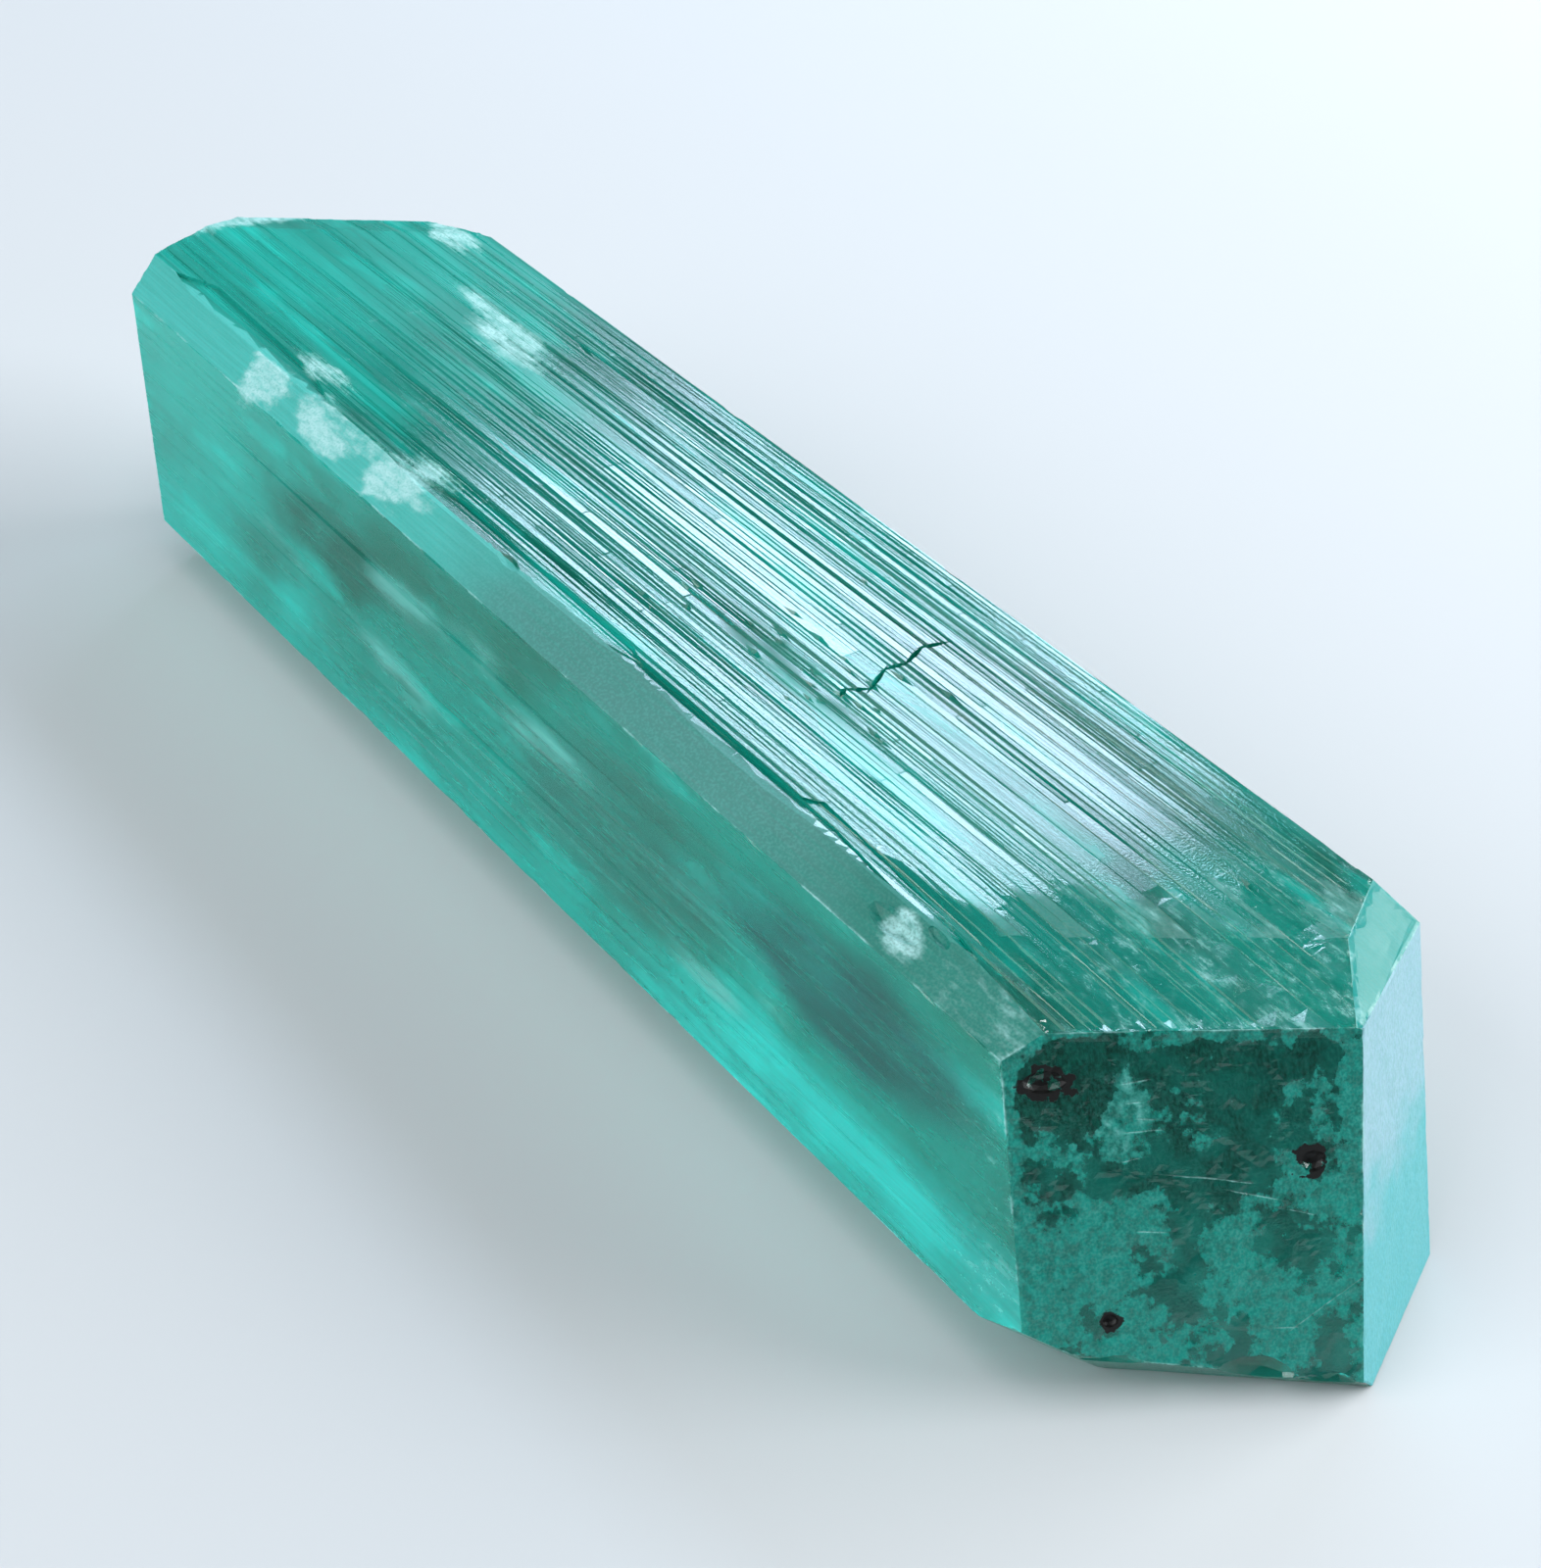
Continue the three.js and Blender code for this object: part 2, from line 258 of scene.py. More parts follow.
# Surface
class Skin:
    """The crystal's surface as flat polygons, which can be split along planes without opening it."""

    TOUCH = 1e-5

    def __init__(self, mesh):
        self.points = [tuple(c / MM for c in v.co) for v in mesh.vertices]
        self.polys = [list(p.vertices) for p in mesh.polygons]
        centres = np.array([np.mean([self.points[v] for v in poly], axis=0) for poly in self.polys])
        self.regions = list(heights(centres).argmax(axis=1))

    def split(self, names, direction, places):
        """Splits these crystal faces along planes square to the direction, at rising places."""
        wanted = {NAMES.index(name) for name in names}
        middles = {}
        polys, regions = [], []
        for poly, region in zip(self.polys, self.regions):
            parts = self.strips(poly, tuple(direction), places, middles) if region in wanted else [poly]
            polys += parts
            regions += [region] * len(parts)
        self.polys = [self.joined_up(poly, middles) for poly in polys]
        self.regions = regions

    def strips(self, poly, direction, places, middles):
        """The strips of one polygon between the planes that cross it."""
        points, touch = self.points, self.TOUCH
        value = {v: sum(a * b for a, b in zip(points[v], direction)) for v in poly}
        first = bisect_right(places, min(value.values()) + touch)
        last = bisect_left(places, max(value.values()) - touch)
        parts, rest = [], poly
        for place in places[first:last]:
            below, above = [], []
            for a, b in zip(rest, rest[1:] + rest[:1]):
                rise_a, rise_b = value[a] - place, value[b] - place
                if rise_a <= touch:
                    below.append(a)
                if rise_a >= -touch:
                    above.append(a)
                if min(rise_a, rise_b) < -touch and max(rise_a, rise_b) > touch:
                    middle = self.middle_of(a, b, rise_a / (rise_a - rise_b), middles)
                    value[middle] = place
                    below.append(middle)
                    above.append(middle)
            if len(below) > 2:
                parts.append(below)
            rest = above
        return parts + [rest]

    def middle_of(self, a, b, share, middles):
        """The point that splits an edge, which both polygons beside the edge share."""
        edge = (min(a, b), max(a, b))
        if edge not in middles:
            middles[edge] = len(self.points)
            ends = zip(self.points[a], self.points[b])
            self.points.append(tuple(p + (q - p) * share for p, q in ends))
        return middles[edge]

    def joined_up(self, poly, middles):
        """A polygon with the points that split the edges of its neighbours taken into its own edges."""
        ring = []
        for a, b in zip(poly, poly[1:] + poly[:1]):
            ring += [a] + self.between(a, b, middles)
        return ring

    def between(self, a, b, middles):
        """The points that split an edge, in order."""
        middle = middles.get((min(a, b), max(a, b)))
        if middle is None:
            return []
        return self.between(a, middle, middles) + [middle] + self.between(middle, b, middles)


def spread(low, high, step):
    return list(np.arange(low, high, step))


# How finely the faces are split: the faces, the direction, and the first place, last place and step.
EDGE_STRIP = 0.22
SHOULDER_GRID = (40.3, 61, 1.1)
SIDE_GRIDS = (
    (("left",), Z_AXIS, (4.0, 24.0, 0.7)),
    (("left", "bevel", "low_bevel"), X_AXIS, (-68, 60, 1.1)),
    (("bevel",), X_AXIS.cross(FACES["bevel"][0]), (-40, 40, 0.55)),
    (("right",), Z_AXIS, (0.5, 26, 1.0)),
    (("right",), X_AXIS, (-65, 60, 1.6)),
    (("bottom",), Y_AXIS, (-15, 19, 1.6)),
    (("bottom",), X_AXIS, (-66, 70, 3.1)),
)
FRONT_REACH = 80
FRONT_STEPS = {"front": 0.42, "front_right": 0.7, "right_shoulder": 0.7}
FAR_GRIDS = (
    (FAR_NAMES, Z_AXIS, (0.5, 26, 0.9)),
    (FAR_NAMES, Y_AXIS, (-18, 19, 0.9)),
)


def refine(skin):
    """Splits the surface where it is to be stepped, etched, scratched or worn."""
    for name, level in zip(NAMES, LEVEL):
        others = [other for other in NAMES if other != name]
        skin.split(others, FACES[name][0], [level - EDGE_STRIP])
    skin.split(TOP_NAMES, Y_AXIS, layers.lines_across())
    skin.split(TOP_NAMES, X_AXIS, sorted(layers.lines_along() + spread(*SHOULDER_GRID)))
    for names, direction, grid in SIDE_GRIDS:
        skin.split(names, direction, spread(*grid))
    for name, step in FRONT_STEPS.items():
        for axis in axes_of(name):
            skin.split([name], axis, spread(-FRONT_REACH, FRONT_REACH, step))
    for a, b, _ in SCRATCHES:
        side = FACES["front"][0].cross(Vector(b) - Vector(a)).normalized()
        middle = Vector(a).dot(side)
        skin.split(["front"], side, [middle + k * SCRATCH_HALF for k in (-1, 0, 1)])
    for names, direction, grid in FAR_GRIDS:
        skin.split(names, direction, spread(*grid))


def scratch_share(points):
    """How far each point lies in a scratch on the front face, from 0 to 1, and how deep it is there."""
    share, depth = np.zeros(len(points)), np.zeros(len(points))
    for a, b, deep in SCRATCHES:
        a, b = np.array(a), np.array(b)
        along = b - a
        length = np.linalg.norm(along)
        along = along / length
        side = np.cross(OUT[FRONT], along)
        off = points - a
        t = off @ along / length
        run_out = smooth(-0.02, 0.15, t) * smooth(1.02, 0.85, t)
        here = np.clip(1 - np.abs(off @ side) / SCRATCH_HALF, 0, 1) * run_out
        share = np.maximum(share, here)
        depth = np.maximum(depth, here * deep)
    return share, depth


ETCH_DEPTH = 0.05
WAVE_DEPTH = 0.05
EDGE_WEAR = 0.03
EDGE_CHIP = 0.09
ON_EDGE = 0.03
EDGE_MEETS = 0.04
RELIEF_STARTS = (0.05, 0.5)


def edge_distance(h, family):
    """How far each point lies from the nearest edge of its family of faces."""
    inside = np.zeros(len(h))
    for value in set(FAMILY):
        here = family == value
        if here.any():
            inside[here] = -h[here][:, FAMILY != value].max(axis=1)
    return inside


def wear(points):
    """Moves the points inwards where the crystal is stepped, etched, scratched or worn."""
    h = heights(points)
    nearest = h.argmax(axis=1)
    family = FAMILY[nearest]
    inside = edge_distance(h, family)
    out = OUT[nearest].copy()
    out[family == 0] = Z_AXIS
    depth = np.zeros(len(points))

    on_top = family == 0
    fall = h[on_top, FRONT_SHOULDER] + layers.early_fall(points[on_top, 1])
    depth[on_top] = layers.depth(points[on_top, 0], points[on_top, 1]) + np.clip(fall, 0, None)
    on_front = nearest == FRONT
    etched = smooth(-0.05, 0.15, field(points[on_front], "etched"))
    depth[on_front] = ETCH_DEPTH * etched + scratch_share(points[on_front])[1]
    others = ~(on_top | on_front)
    depth[others] = WAVE_DEPTH * smooth(-0.5, 0.5, field(points[others], "wavy"))
    depth *= smooth(*RELIEF_STARTS, inside)

    rows = np.where(inside < ON_EDGE)[0]
    chips = smooth(0.0, 0.6, field(points[rows], "chipped"))
    for row, chip in zip(rows, chips):
        mean = OUT[h[row] > h[row].max() - EDGE_MEETS].sum(axis=0)
        out[row] = mean / np.linalg.norm(mean)
        depth[row] = EDGE_WEAR + EDGE_CHIP * chip
    return points - out * depth[:, None]


def cad_surface():
    """The solid's own surface, with each corner point kept once."""
    bm = bmesh.new()
    bm.from_mesh(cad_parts["crystal"].data)
    bmesh.ops.remove_doubles(bm, verts=bm.verts, dist=1e-6)
    mesh = bpy.data.meshes.new("solid_surface")
    bm.to_mesh(mesh)
    bm.free()
    return mesh


def crystal_mesh():
    """The solid's surface, split finely and worn."""
    skin = Skin(cad_surface())
    refine(skin)
    mesh = bpy.data.meshes.new("crystal_surface")
    mesh.from_pydata([Vector(p) * MM for p in skin.points], [], skin.polys)
    bm = bmesh.new()
    bm.from_mesh(mesh)
    bmesh.ops.triangulate(bm, faces=bm.faces)
    points = np.array([v.co for v in bm.verts]) / MM
    for vert, place in zip(bm.verts, wear(points)):
        vert.co = Vector(place) * MM
    bm.to_mesh(mesh)
    bm.free()
    return mesh


# Colours, in linear red, green and blue
COLOURS = {
    "body": (0.004, 0.52, 0.42),
    "body_deep": (0.003, 0.36, 0.27),
    "body_veil": (0.015, 0.68, 0.58),
    "milk": (0.010, 0.66, 0.56),
    "top_streak": (0.003, 0.36, 0.28),
    "bevel": (0.09, 0.34, 0.31),
    "bevel_far": (0.10, 0.74, 0.68),
    "bevel_front": (0.003, 0.24, 0.19),
    # painted glow: the left face lighter towards the bottom, where light through the crystal comes out
    "left_bottom_glow": (0.006, 0.72, 0.62),
    "left_shade": (0.003, 0.17, 0.12),
    # painted shade: darker zones of the left face that stand for a dark view through the crystal
    "left_painted_shade_grey": (0.05, 0.27, 0.23),
    "left_painted_shade_blue": (0.02, 0.13, 0.14),
    # painted glow along the lower front of the left face, a part that glows with no lamp in it
    "left_painted_glow": (0.04, 0.95, 0.86),
    "left_veil": (0.26, 0.80, 0.74),
    # painted shade: the front face's dark ground stands for the deep view into the crystal, lighter below
    "front": (0.001, 0.055, 0.044),
    "front_low": (0.001, 0.17, 0.14),
    "front_cloud": (0.001, 0.34, 0.28),
    "front_corner": (0.001, 0.04, 0.03),
    # the icy facet: partly real frosting, partly painted sheen, paler towards the top
    "icy_frost_and_sheen": (0.12, 0.68, 0.76),
    "icy_painted_sheen": (0.46, 0.76, 0.92),
    "shoulder": (0.01, 0.50, 0.46),
    "streak": (0.008, 0.40, 0.31),
    "island": (0.003, 0.80, 0.67),
    "speckle": (0.17, 0.68, 0.62),
    "white": (0.58, 0.97, 0.97),
    "grain": (0.001, 0.0008, 0.0003),
    "let_through": (0.045, 0.86, 0.76),
    "floor": (0.62, 0.64, 0.66),
    "sky": (0.80, 0.89, 1.0),
}

# How clear, rough and grainy the faces are that have a finish of their own.
FINISHES = {
    "body": {"clear": 0.7, "rough": 0.16, "grain": 0.15},
    "bevel": {"clear": 0.35, "rough": 0.5},
    "left": {"rough": 0.22, "grain": 0.3},
    "front": {"clear": 0.6, "rough": 0.16},
    "icy": {"clear": 0.25, "rough": 0.38, "grain": 0.8},
    "shoulder": {"clear": 0.4, "rough": 0.3},
}

# Where a look sets in and where it is full, along the length.
MILKY = (-18, -58)
FLECKED_TOP = (38, 49)
FLECKED_LEFT = (47, 55)
BEVEL_FAR = (2, -22)
BEVEL_FRONT = (24, 38)
RIM_ALONG = (-70.5, -73.5)

# The same, by height.
# painted glow on the left face, lighter towards the bottom
LEFT_BOTTOM_GLOW = (12, 5)
FRONT_LOW = (20, 6)
FRONT_CLOUDED = (22, 10)
FRONT_ETCHED = (25, 9)
BORDER_HIGH = (12, 20)
ICY_SHEEN_HIGH = (9, 17)
# painted sheen on the icy facet, paler towards the top
RIM_HIGH = (23.0, 25.0)

# Patches: the middle and the reach along each axis.
PITTED = ((11, -2.5, TOP), (9, 2.6, 3))
LADDER = ((57.6, -10.1, 20.3), (2.4, 2.0, 5.0))
DARK_CORNER = ((54.3, -14.0, 21.8), (4.5, 3.5, 3.6))
# Painted shade and painted glow on the left face: the colour, how much of it, the middle and the reach
# along each axis.
LEFT_SHADE_AND_GLOW = (
    ("left_shade", 0.9, (-30, -17.7, 17.4), (10, 5, 3.4)),
    ("left_painted_shade_grey", 0.85, (12, -17.6, 15), (15, 5, 6.5)),
    ("left_painted_shade_blue", 1.0, (38, -17.4, 18), (13, 5, 5.0)),
    ("left_painted_glow", 1.0, (44, -18.5, 5), (28, 5, 6.5)),
)
LEFT_VEILS = (
    ((-43, -18, 12.5), (5.0, 3, 2.0)),
    ((-8, -17.6, 19.6), (5.0, 3, 1.6)),
    ((2, -17.7, 16.5), (7.0, 3, 1.6)),
    ((-22, -18, 10), (9, 3, 3.0)),
    ((24, -18, 10), (5, 3, 1.0)),
    ((40, -18, 12.6), (10, 3, 0.9)),
    ((-18, -17.7, 17.9), (7, 3, 1.7)),
    ((-37, -18.2, 11.5), (5, 3, 1.6)),
)
DARK_GRAINS = (
    ((53.9, -14.4, 22.2), (3.36, 2.64, 1.32)),
    ((65.8, 1.4, 16.8), (1.8, 1.68, 1.8)),
    ((63.2, -13.0, 6.7), (1.08, 0.96, 1.08)),
)

# White frosted patches: how white, the middle, the reach, and the turn in plan in degrees.
WHITE_PATCHES = (
    (0.82, (-25.4, -14.3, 25.6), (5.0, 3.6, 3.0), 0),
    (0.82, (-46.0, -15.2, 24.6), (4.0, 2.6, 3.0), 0),
    (0.82, (-37.0, -15.4, 24.6), (6.0, 1.2, 2.0), -6),
    (0.82, (-41.2, 7.6, TOP), (5.6, 3.4, 3.0), 0),
    (0.82, (-51.4, 10.2, TOP), (2.8, 1.6, 3.0), 0),
    (0.82, (-43.2, -10.6, TOP), (3.0, 1.8, 2.0), 0),
    (0.82, (38.6, -15.4, 25.0), (3.4, 1.6, 1.8), 8),
    (0.82, (-62, 15.6, TOP), (4.5, 2.4, 3.0), 0),
    (0.58, (-36, -14.3, 25.6), (14, 1.7, 2.0), 0),
)
PATCH_EDGE = (1.25, 0.55)
RAGGEDNESS = 0.55


def numbers(items, key, width, kind=float):
    """One value of every item of a mesh, with a row for each item."""
    found = np.empty(len(items) * width, dtype=kind)
    items.foreach_get(key, found)
    return found.reshape(-1, width)


class Paint:
    """Colour, clearness and frosting at every corner of the mesh, for the material to read."""

    def __init__(self, mesh):
        self.mesh = mesh
        self.points = numbers(mesh.vertices, "co", 3) / MM
        self.vert = numbers(mesh.loops, "vertex_index", 1, np.int32)[:, 0]
        self.at = self.points[self.vert]
        self.x, self.y, self.z = self.at.T
        self.heights = heights(self.at)
        self.inside = -np.sort(self.heights, axis=1)[:, -2]
        centres = numbers(mesh.polygons, "center", 3) / MM
        self.region = np.repeat(heights(centres).argmax(axis=1), 3)
        self.veil = self.field("veil")
        self.blot = self.field("blot")
        self.cloud = self.field("cloud")
        self.milk = smooth(*MILKY, self.x + 8 * self.cloud)
        self.tint = np.zeros((len(self.x), 3))
        for name in ("clear", "rough", "grain", "frost", "etch", "black"):
            setattr(self, name, np.zeros(len(self.x)))

    def field(self, name):
        return field(self.points, name)[self.vert]

    def on(self, *names):
        return np.isin(self.region, [NAMES.index(name) for name in names])

    def patch(self, centre, size, ragged=0.0, turn=0.0):
        """A soft patch on the surface: 1 in its middle, 0 outside."""
        off = self.at - np.array(centre)
        c, s = math.cos(math.radians(turn)), math.sin(math.radians(turn))
        along, across = c * off[:, 0] + s * off[:, 1], c * off[:, 1] - s * off[:, 0]
        off = np.stack([along, across, off[:, 2]], axis=1)
        return smooth(*PATCH_EDGE, np.linalg.norm(off / np.array(size), axis=1) + ragged)

    def lay(self, colour, share):
        """Mixes a colour into the tint."""
        share = np.broadcast_to(share, self.x.shape)[:, None]
        self.tint = self.tint + (np.array(COLOURS[colour]) - self.tint) * share

    def finish(self, name, where):
        for key, value in FINISHES[name].items():
            getattr(self, key)[where] = value

    def whiten(self, share):
        self.frost = np.maximum(self.frost, share)

    def body(self):
        broad = self.field("broad")
        self.finish("body", slice(None))
        self.lay("body", 1.0)
        self.lay("body_deep", smooth(-0.1, 0.5, broad))
        self.lay("body_veil", smooth(0.1, 0.7, self.veil) * 0.7)
        self.clear += 0.12 * smooth(0.0, 0.5, broad) - 0.25 * smooth(0.1, 0.6, self.veil)

    def far_end(self):
        self.lay("milk", self.milk * 0.75)
        self.clear -= 0.25 * self.milk
        self.rough += 0.12 * self.milk

    def top(self):
        """Glossy and dull layers, a pitted patch, and dull plate ends where the top bends to the front."""
        top = self.on(*TOP_NAMES)
        x, y = self.x[top], self.y[top]
        self.rough[top] = 0.09 + 0.13 * layers.dull(x, y) + 0.15 * self.milk[top]
        self.lay("top_streak", top * smooth(-0.2, 0.5, self.field("streak")) * 0.7)
        self.rough += top * self.patch(*PITTED) * 0.22 * smooth(-0.2, 0.2, self.blot)
        near_crease = smooth(-0.5, -0.05, self.heights[:, FRONT_SHOULDER])
        ends = np.zeros(len(self.x))
        ends[top] = layers.dull(np.zeros(len(y)), y)
        dulled = smooth(0.75, 1.15, near_crease + 0.6 * ends + 0.4 * self.blot)
        self.rough += self.on("top") * dulled * 0.3

    def flecks(self):
        """White flecks towards the front end."""
        white = 0.30 + 0.16 * smooth(0.0, 0.5, self.blot)
        x = self.x + 4 * self.cloud
        self.whiten(self.on(*TOP_NAMES, "bevel") * smooth(*FLECKED_TOP, x) * white)
        self.whiten(self.on("left") * smooth(*FLECKED_LEFT, x) * (white - 0.06))

    def bevel(self):
        """Fine matte frosting, paler towards the far end and clearer towards the front."""
        bevel = self.on("bevel")
        x = self.x + 5 * self.cloud
        self.lay("bevel", bevel)
        self.lay("bevel_far", bevel * smooth(*BEVEL_FAR, x))
        self.lay("bevel_front", bevel * smooth(*BEVEL_FRONT, x))
        self.finish("bevel", bevel)
        self.grain[bevel] = 1.0 - 0.7 * smooth(*BEVEL_FRONT, self.x[bevel])

    def left(self):
        """Painted glow towards the bottom and along the lower front, painted shade in dark zones, and pale
        veils.
        """
        left = self.on("left", "low_bevel")
        # painted glow: lighter towards the bottom of the left face
        self.lay("left_bottom_glow", left * smooth(*LEFT_BOTTOM_GLOW, self.z + 5 * self.cloud) * 0.8)
        # painted shade in the dark zones and painted glow along the lower front
        for colour, share, centre, size in LEFT_SHADE_AND_GLOW:
            patch = self.patch(centre, size)
            self.lay(colour, left * share * np.clip(patch + 0.35 * self.cloud * (patch > 0), 0, 1))
        for centre, size in LEFT_VEILS:
            self.lay("left_veil", left * self.patch(centre, size) * smooth(-0.2, 0.4, self.veil) * 0.75)
        self.clear -= left * 0.1
        self.finish("left", left)

    def front(self):
        """Clear ground painted dark as shade seen deep into the crystal, lighter below, with etched
        islands, white flecks and scratches.
        """
        front = self.on("front")
        corner, ladder = self.patch(*DARK_CORNER), self.patch(*LADDER)
        y, z = self.y, self.z
        # painted shade: dark ground for the deep view into the crystal, lighter below and darker at the
        # upper left corner
        self.lay("front", front)
        self.lay("front_low", front * smooth(*FRONT_LOW, z + 4 * self.blot))
        cloudy = smooth(-0.15, 0.55, self.field("front_cloud"))
        self.lay("front_cloud", front * cloudy * (0.35 + 0.5 * smooth(*FRONT_CLOUDED, z)))
        self.lay("front_corner", front * corner * 0.8)
        self.finish("front", front)

        low = 0.40 * smooth(*FRONT_ETCHED, z)
        beside = 0.12 * smooth(-5, 5, y) + 0.1 * smooth(-12, -17, y) * smooth(18, 12, z)
        mottle = 1.3 * self.field("mottle") + 0.5 * self.field("fine_mottle")
        border = smooth(1.5, 0.5, self.inside + 0.9 * self.blot) * smooth(*BORDER_HIGH, z)
        etched = 0.13 + low + beside + 0.45 * mottle + 0.6 * border + 0.3 * ladder - 0.45 * corner
        self.etch = front * np.clip(etched, 0, 1)
        self.whiten(front * (0.19 * smooth(0.0, 0.4, mottle) + 0.2 * ladder))
        self.whiten(front * scratch_share(self.at)[0] * 0.7)

    def end_facets(self):
        """The icy facet at the right of the front, its pale colour partly frosting and partly painted sheen
        that is paler towards the top, and the small shoulder above it.
        """
        icy = self.on("front_right")
        # partly frosting and partly painted sheen, paler towards the top
        self.lay("icy_frost_and_sheen", icy)
        self.lay("icy_painted_sheen", icy * smooth(*ICY_SHEEN_HIGH, self.z + 4 * self.blot))
        self.finish("icy", icy)
        shoulder = self.on("right_shoulder")
        self.lay("shoulder", shoulder)
        self.finish("shoulder", shoulder)

    def white_patches(self):
        """Frosted patches, the chip at the bevel and the bruised rim of the far end."""
        for white, centre, size, turn in WHITE_PATCHES:
            self.whiten(white * self.patch(centre, size, RAGGEDNESS * self.blot, turn))
        self.whiten(smooth(*RIM_ALONG, self.x) * smooth(*RIM_HIGH, self.z) * 0.8)

    def worn_and_glinting_edges(self):
        # white along the edges: partly rubbed frosting, partly painted edge highlight
        worn = smooth(0.16, 0.0, self.inside) * smooth(-0.3, 0.4, self.blot)
        self.whiten(worn * 0.85 * ~self.on(*TOP_NAMES))

    def dark_grains(self):
        specks = 0.62 + 0.7 * self.field("specks")
        for centre, size in DARK_GRAINS:
            patch = self.patch(centre, size, RAGGEDNESS * self.blot)
            self.black = np.maximum(self.black, self.on("front") * specks * patch)

    def store(self):
        """Keeps the values with the mesh."""
        tint = np.ones((len(self.x), 4), dtype=np.float32)
        tint[:, :3] = self.tint
        self.mesh.attributes.new("tint", "FLOAT_COLOR", "CORNER").data.foreach_set("color", tint.ravel())
        self.clear = np.clip(self.clear, 0.05, 0.95)
        self.grain = self.grain + 0.8 * self.frost + 0.3 * self.etch
        for name in ("clear", "rough", "frost", "etch", "black", "grain"):
            values = getattr(self, name).astype(np.float32)
            self.mesh.attributes.new(name, "FLOAT", "CORNER").data.foreach_set("value", values)


def painted(mesh):
    paint = Paint(mesh)
    paint.body()
    paint.far_end()
    paint.top()
    paint.flecks()
    paint.bevel()
    paint.left()
    paint.front()
    paint.end_facets()
    paint.white_patches()
    paint.worn_and_glinting_edges()
    paint.dark_grains()
    paint.store()
    return mesh


# Material
class Nodes:
    """Short names for the shader nodes used below."""

    def __init__(self, material):
        material.use_nodes = True
        self.tree = material.node_tree
        self.tree.nodes.clear()

    def new(self, kind, **values):
        node = self.tree.nodes.new(kind)
        for key, value in values.items():
            setattr(node, key, value)
        return node

    def put(self, socket, value):
        if isinstance(value, bpy.types.NodeSocket):
            self.tree.links.new(value, socket)
        else:
            socket.default_value = value

    def math(self, op, a, b=0.0):
        node = self.new("ShaderNodeMath", operation=op)
        self.put(node.inputs[0], a)
        self.put(node.inputs[1], b)
        return node.outputs[0]

    def scaled(self, where, scale):
        node = self.new("ShaderNodeVectorMath", operation="MULTIPLY")
        self.put(node.inputs[0], where)
        self.put(node.inputs[1], scale)
        return node.outputs[0]

    def ramp(self, value, low, high, to_low=0.0, to_high=1.0):
        node = self.new("ShaderNodeMapRange", interpolation_type="SMOOTHSTEP")
        for i, v in enumerate((value, low, high, to_low, to_high)):
            self.put(node.inputs[i], v)
        return node.outputs[0]

    def noise(self, where, scale, detail):
        node = self.new("ShaderNodeTexNoise")
        self.put(node.inputs["Vector"], self.scaled(where, scale))
        node.inputs["Scale"].default_value = 1.0
        node.inputs["Detail"].default_value = detail
        node.inputs["Roughness"].default_value = 0.6
        return node.outputs["Fac"]

    def value_of(self, name):
        return self.new("ShaderNodeAttribute", attribute_name=name).outputs["Fac"]

    def colour_of(self, name):
        return self.new("ShaderNodeAttribute", attribute_name=name).outputs["Color"]

    def mix(self, share, a, colour):
        node = self.new("ShaderNodeMix", data_type="RGBA")
        self.put(node.inputs[0], share)
        self.put(node.inputs[6], a)
        self.put(node.inputs[7], (*COLOURS[colour], 1))
        return node.outputs[2]

    def blend(self, share, a, b):
        node = self.new("ShaderNodeMix", data_type="FLOAT")
        self.put(node.inputs[0], share)
        self.put(node.inputs[2], a)
        self.put(node.inputs[3], b)
        return node.outputs[0]


INDEX_OF_REFRACTION = 1.66
SPECULAR_LEVEL = 0.3
ABSORPTION_DENSITY = 45.0
BUMP_STRENGTH = 0.5
BUMP_DISTANCE = 0.06 * MM

# Noise in the shader: repeats per millimetre along each axis, and detail.
RAGGED_NOISE = ((0.75, 1.6, 1.6), 3)
FINE_NOISE = ((4.5, 4.5, 4.5), 1)
STREAK_NOISE = ((0.10, 5.0, 2.5), 2)

# How much light the islands, the white frosting and the grains let through, and how rough they are.
ISLAND_CLEAR, ISLAND_ROUGH = 0.6, 0.4
WHITE_CLEAR, WHITE_ROUGH = 0.2, 0.55
GRAIN_CLEAR, GRAIN_ROUGH = 0.0, 0.5


